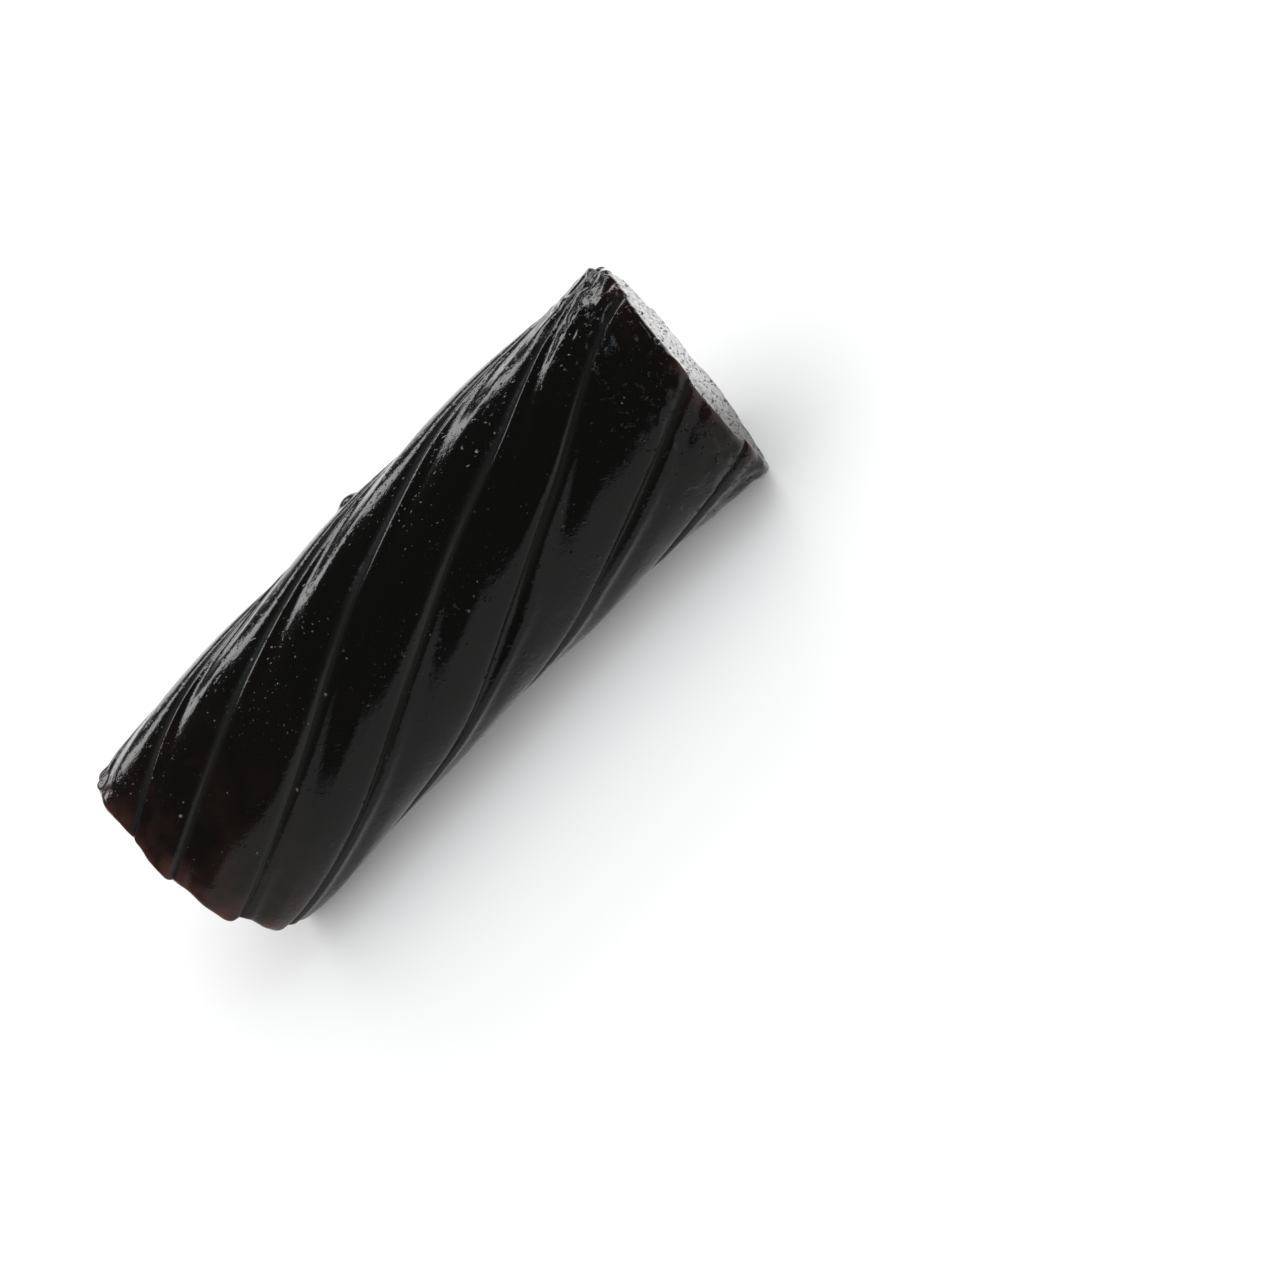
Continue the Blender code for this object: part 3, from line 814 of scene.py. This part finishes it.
def cut_material(finish, pores, grain):
    """The matt cut face: dark grey in soft clouds, with a painted brown glow of light coming through the
    thin rim, and fine grain. Drag marks and open pores are turned to the way that the knife went and
    drawn out along it."""
    material, tree, shader = new_material("licorice_cut")
    place = object_place(tree, (-1500, 0))
    rim = attribute(tree, (-1500, 400), "rim")

    clouds = noise(tree, (-1200, 300), place, 260.0, 3.0)
    darker, paler = ([part * share for part in finish.cut_black] for share in (0.7, 1.35))
    tone = mixed(tree, (-850, 300), clouds, darker, paler)
    # Painted glow of light through the thin rim, fainter on the cut
    fainter_glow = maths(tree, (-850, 500), "MULTIPLY", rim, 0.6)
    colour = mixed(tree, (-600, 300), fainter_glow, tone, finish.brown)

    stretch = node(tree, "ShaderNodeMapping", (-1250, 0),
                   {"Vector": place, "Rotation": (-KNIFE_ANGLE, 0.0, 0.0), "Scale": (1.0, 9.0, 1.0)},
                   vector_type="TEXTURE")
    drawn_out = stretch.outputs["Vector"]
    drag = noise(tree, (-1000, 0), drawn_out, 4200.0, 2.0)
    fine = height_of(tree, (-1000, -250), grain, {"Vector": place, "Scale": 3200.0, "Fine share": 0.5})
    pits = height_of(tree, (-1000, -450), pores, {"Vector": drawn_out, "Cells": 4300.0, "Share": 0.85,
                                                  "Radius": 0.62})
    dull = ranged(tree, (-800, 50), drag, 0.35, 0.65, finish.cut_gloss - 0.05, finish.cut_gloss + 0.05)
    rough = maths(tree, (-500, 50), "MULTIPLY_ADD", pits, -0.9, dull, use_clamp=True)

    normal = bump(tree, (-600, -200), DRAG_DEPTH, drag)
    normal = bump(tree, (-400, -300), CUT_GRAIN_HEIGHT, fine, normal)
    normal = bump(tree, (-200, -400), CUT_PIT_DEPTH, pits, normal)
    set_inputs(tree, shader, {"Base Color": colour, "Roughness": rough, "Normal": normal})
    material.diffuse_color = (*finish.cut_black, 1.0)
    return material


class LICORICE_OT_make_rope(bpy.types.Operator):
    """Makes the fine surface of the cut licorice rope, with its glossy skin and matt cut faces"""
    bl_idname = "licorice.make_rope"
    bl_label = "Make the rope"

    def execute(self, context):
        shape = context.scene.licorice_shape
        finish = context.scene.licorice_finish
        rib, across, rings, on_cut = rope_grid(shape)
        vertices, quads, fans = close_rings(rings)
        # The middle of the surface's box goes to the middle of the solid's, along X and Y
        middle = (np.array(CAD_BOX[0]) + np.array(CAD_BOX[1])) / 2.0
        offset = middle - (vertices.min(axis=0) + vertices.max(axis=0)) / 2.0
        offset[2] = 0.0
        mesh = mesh_from_arrays("licorice_rope", vertices + offset, quads, fans)

        ribs = np.broadcast_to(rib, rings.shape[:2])
        places = np.broadcast_to(across, rings.shape[:2])
        on_face = np.broadcast_to(on_cut[:, None], rings.shape[:2])
        for name, values in surface_values(shape, ribs, places, rings, on_face).items():
            store_values(mesh, name, values)
        store_values(mesh, "along_ribs", along_ribs(shape, ribs, places, rings[..., 0]))

        pores, grain = pore_group(), grain_group()
        mesh.materials.append(skin_material(finish, pores, grain))
        mesh.materials.append(cut_material(finish, pores, grain))
        # The strips between the rings of the cut faces, and the fans at their middles, are matt
        around = len(rib)
        strips = np.repeat(np.arange(len(rings) - 1), around)
        inner = FACE_RINGS - 1
        cut_strip = (strips < inner) | (strips >= len(rings) - 1 - inner)
        material_index = np.concatenate((cut_strip, np.ones(2 * around))).astype(np.int32)
        mesh.polygons.foreach_set("material_index", material_index)

        rope = bpy.data.objects.new("licorice_rope", mesh)
        context.scene.collection.objects.link(rope)
        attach(rope, BODY)
        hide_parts(NODE)
        return {"FINISHED"}


def floor_material(colour):
    """A smooth pale table top with a barely uneven tone and a faint glow of its own. Glossy surfaces
    reflect it dimmer in front of the piece than behind it, and brighter beside its right end."""
    material, tree, shader = new_material("pale_table")
    place = object_place(tree, (-900, 0))
    clouds = noise(tree, (-700, 0), place, 9.0, 2.0)
    tone = mixed(tree, (-400, 0), clouds, [part * 0.99 for part in colour], colour)
    set_inputs(tree, shader, {"Base Color": tone, "Roughness": 0.7, "Specular IOR Level": 0.2,
                              "Emission Color": (1.0, 1.0, 1.0, 1.0), "Emission Strength": 0.12})

    parts = node(tree, "ShaderNodeSeparateXYZ", (-700, -300), {"Vector": place}).outputs
    behind = ranged(tree, (-400, -300), parts["Y"], 0.0, 0.012, 0.37, 1.3, eased=True)
    beside = ranged(tree, (-400, -500), parts["X"], 0.020, 0.025, 1.0, 1.7, eased=True)
    strength = maths(tree, (-250, -400), "MULTIPLY", behind, beside)
    mirrored = node(tree, "ShaderNodeEmission", (-100, -300), {"Strength": strength})
    glossy = node(tree, "ShaderNodeLightPath", (-100, 500)).outputs["Is Glossy Ray"]
    mix = node(tree, "ShaderNodeMixShader", (200, 200),
               {0: glossy, 1: shader.outputs["BSDF"], 2: mirrored.outputs["Emission"]})
    set_inputs(tree, tree.nodes["Material Output"], {"Surface": mix.outputs["Shader"]})
    return material


def area_light(name, size, place, radiance, colour):
    """A flat light of a size that faces the rope's middle. Its power is its radiance times pi times
    its area."""
    data = bpy.data.lights.new(name, "AREA")
    data.shape = "RECTANGLE"
    data.size, data.size_y = size
    data.energy = radiance * math.pi * size[0] * size[1]
    data.color = colour
    light = bpy.data.objects.new(name, data)
    light.location = place
    light.rotation_mode = "QUATERNION"
    way = Vector((0.0, 0.0, AXIS_HEIGHT)) - Vector(place)
    light.rotation_quaternion = way.to_track_quat("-Z", "Y")
    light.visible_camera = False
    bpy.context.scene.collection.objects.link(light)


def studio_world():
    """Pale all round for what the camera sees and for the light on matt surfaces. Glossy surfaces
    reflect a dim room that gets pale towards the horizon."""
    world = bpy.data.worlds.new("studio")
    world.use_nodes = True
    tree = world.node_tree
    tree.nodes.clear()
    way = node(tree, "ShaderNodeTexCoord", (-1300, -150)).outputs["Generated"]
    height = node(tree, "ShaderNodeSeparateXYZ", (-1100, -150), {"Vector": way}).outputs["Z"]
    dimmed = ranged(tree, (-900, -150), height, 0.0, 0.22, 0.38, 0.03, eased=True)
    room = node(tree, "ShaderNodeBackground", (-500, -150),
                {"Color": (0.88, 0.94, 1.0, 1.0), "Strength": dimmed})
    pale = node(tree, "ShaderNodeBackground", (-500, -300),
                {"Color": (1.0, 1.0, 1.0, 1.0), "Strength": 1.0})
    glossy = node(tree, "ShaderNodeLightPath", (-500, 300)).outputs["Is Glossy Ray"]
    mix = node(tree, "ShaderNodeMixShader", (-200, 0),
               {0: glossy, 1: pale.outputs["Background"], 2: room.outputs["Background"]})
    node(tree, "ShaderNodeOutputWorld", (50, 0), {"Surface": mix.outputs["Shader"]})
    return world


class LICORICE_OT_make_stage(bpy.types.Operator):
    """Makes the pale table, a softbox behind the piece, a soft overhead light and a dim room"""
    bl_idname = "licorice.make_stage"
    bl_label = "Make the stage"

    def execute(self, context):
        studio = context.scene.licorice_studio
        half = TABLE_SIDE / 2.0
        corners = [(-half, -half, 0.0), (half, -half, 0.0), (half, half, 0.0), (-half, half, 0.0)]
        mesh = bpy.data.meshes.new("table_top")
        mesh.from_pydata(corners, [], [(0, 1, 2, 3)])
        mesh.materials.append(floor_material(studio.floor_colour))
        table = bpy.data.objects.new("table_top", mesh)
        context.scene.collection.objects.link(table)

        behind = (0.0, SOFTBOX_DISTANCE * math.cos(SOFTBOX_RISE), SOFTBOX_DISTANCE * math.sin(SOFTBOX_RISE))
        area_light("softbox", SOFTBOX_SIZE, behind, studio.softbox_light, (1.0, 1.0, 1.0))
        area_light("overhead", OVERHEAD_SIZE, OVERHEAD_PLACE, studio.overhead_light, OVERHEAD_COLOUR)
        context.scene.world = studio_world()
        context.scene.view_settings.view_transform = "Standard"
        return {"FINISHED"}


class LICORICE_OT_place_camera(bpy.types.Operator):
    """Places the camera as in the photograph, rolled so that the rope slants up to the right"""
    bl_idname = "licorice.place_camera"
    bl_label = "Place the camera"

    def execute(self, context):
        studio = context.scene.licorice_studio
        shape = context.scene.licorice_shape
        turn, rise = studio.azimuth, studio.elevation
        back = Vector((math.sin(turn) * math.cos(rise), -math.cos(turn) * math.cos(rise),
                       math.sin(rise)))
        along = Vector((1.0, 0.0, 0.0))
        along = (along - along.dot(back) * back).normalized()
        across = back.cross(along)
        right = along * math.cos(studio.slant) - across * math.sin(studio.slant)
        up = along * math.sin(studio.slant) + across * math.cos(studio.slant)

        data = bpy.data.cameras.new("camera")
        data.lens = studio.lens
        data.clip_start, data.clip_end = 0.01, 10.0
        metres_a_pixel = 2.0 * shape.rope_radius / ROPE_WIDTH_IN_FRAME
        distance = FRAME_WIDTH * metres_a_pixel * data.lens / data.sensor_width
        low, high = Vector(CAD_BOX[0]), Vector(CAD_BOX[1])
        aside = (FRAME_WIDTH / 2.0 - MIDDLE_IN_FRAME[0]) * metres_a_pixel
        above = (MIDDLE_IN_FRAME[1] - FRAME_WIDTH / 2.0) * metres_a_pixel
        camera = bpy.data.objects.new("camera", data)
        turned = Matrix((right, up, back)).transposed().to_4x4()
        place = (low + high) / 2.0 + back * distance + right * aside + up * above
        camera.matrix_world = Matrix.Translation(place) @ turned
        context.scene.collection.objects.link(camera)
        context.scene.camera = camera
        return {"FINISHED"}


class LICORICE_PT_panel(bpy.types.Panel):
    """Lists the sizes, finishes and steps of the licorice piece"""
    bl_idname = "LICORICE_PT_panel"
    bl_label = "Black licorice"
    bl_space_type = "VIEW_3D"
    bl_region_type = "UI"
    bl_category = "Licorice"

    def draw(self, context):
        for group in (context.scene.licorice_shape, context.scene.licorice_finish,
                      context.scene.licorice_studio):
            box = self.layout.box()
            for name in group.bl_rna.properties.keys():
                if name not in ("rna_type", "name"):
                    box.prop(group, name)
        for step in STEPS:
            self.layout.operator(step.bl_idname)


GROUPS = {"licorice_shape": LicoriceShape, "licorice_finish": LicoriceFinish,
          "licorice_studio": LicoriceStudio}
STEPS = (LICORICE_OT_make_rope, LICORICE_OT_make_stage, LICORICE_OT_place_camera)


def register():
    """Registers the groups of settings, the steps and the panel."""
    for name, group in GROUPS.items():
        bpy.utils.register_class(group)
        setattr(bpy.types.Scene, name, PointerProperty(type=group))
    for made in (*STEPS, LICORICE_PT_panel):
        bpy.utils.register_class(made)


def unregister():
    """Takes back what register did."""
    for made in reversed((*STEPS, LICORICE_PT_panel)):
        bpy.utils.unregister_class(made)
    for name, group in GROUPS.items():
        delattr(bpy.types.Scene, name)
        bpy.utils.unregister_class(group)


def main():
    """Makes the rope and its stage."""
    register()
    bpy.ops.licorice.make_rope()
    bpy.ops.licorice.make_stage()
    bpy.ops.licorice.place_camera()


if __name__ == "__main__":
    main()
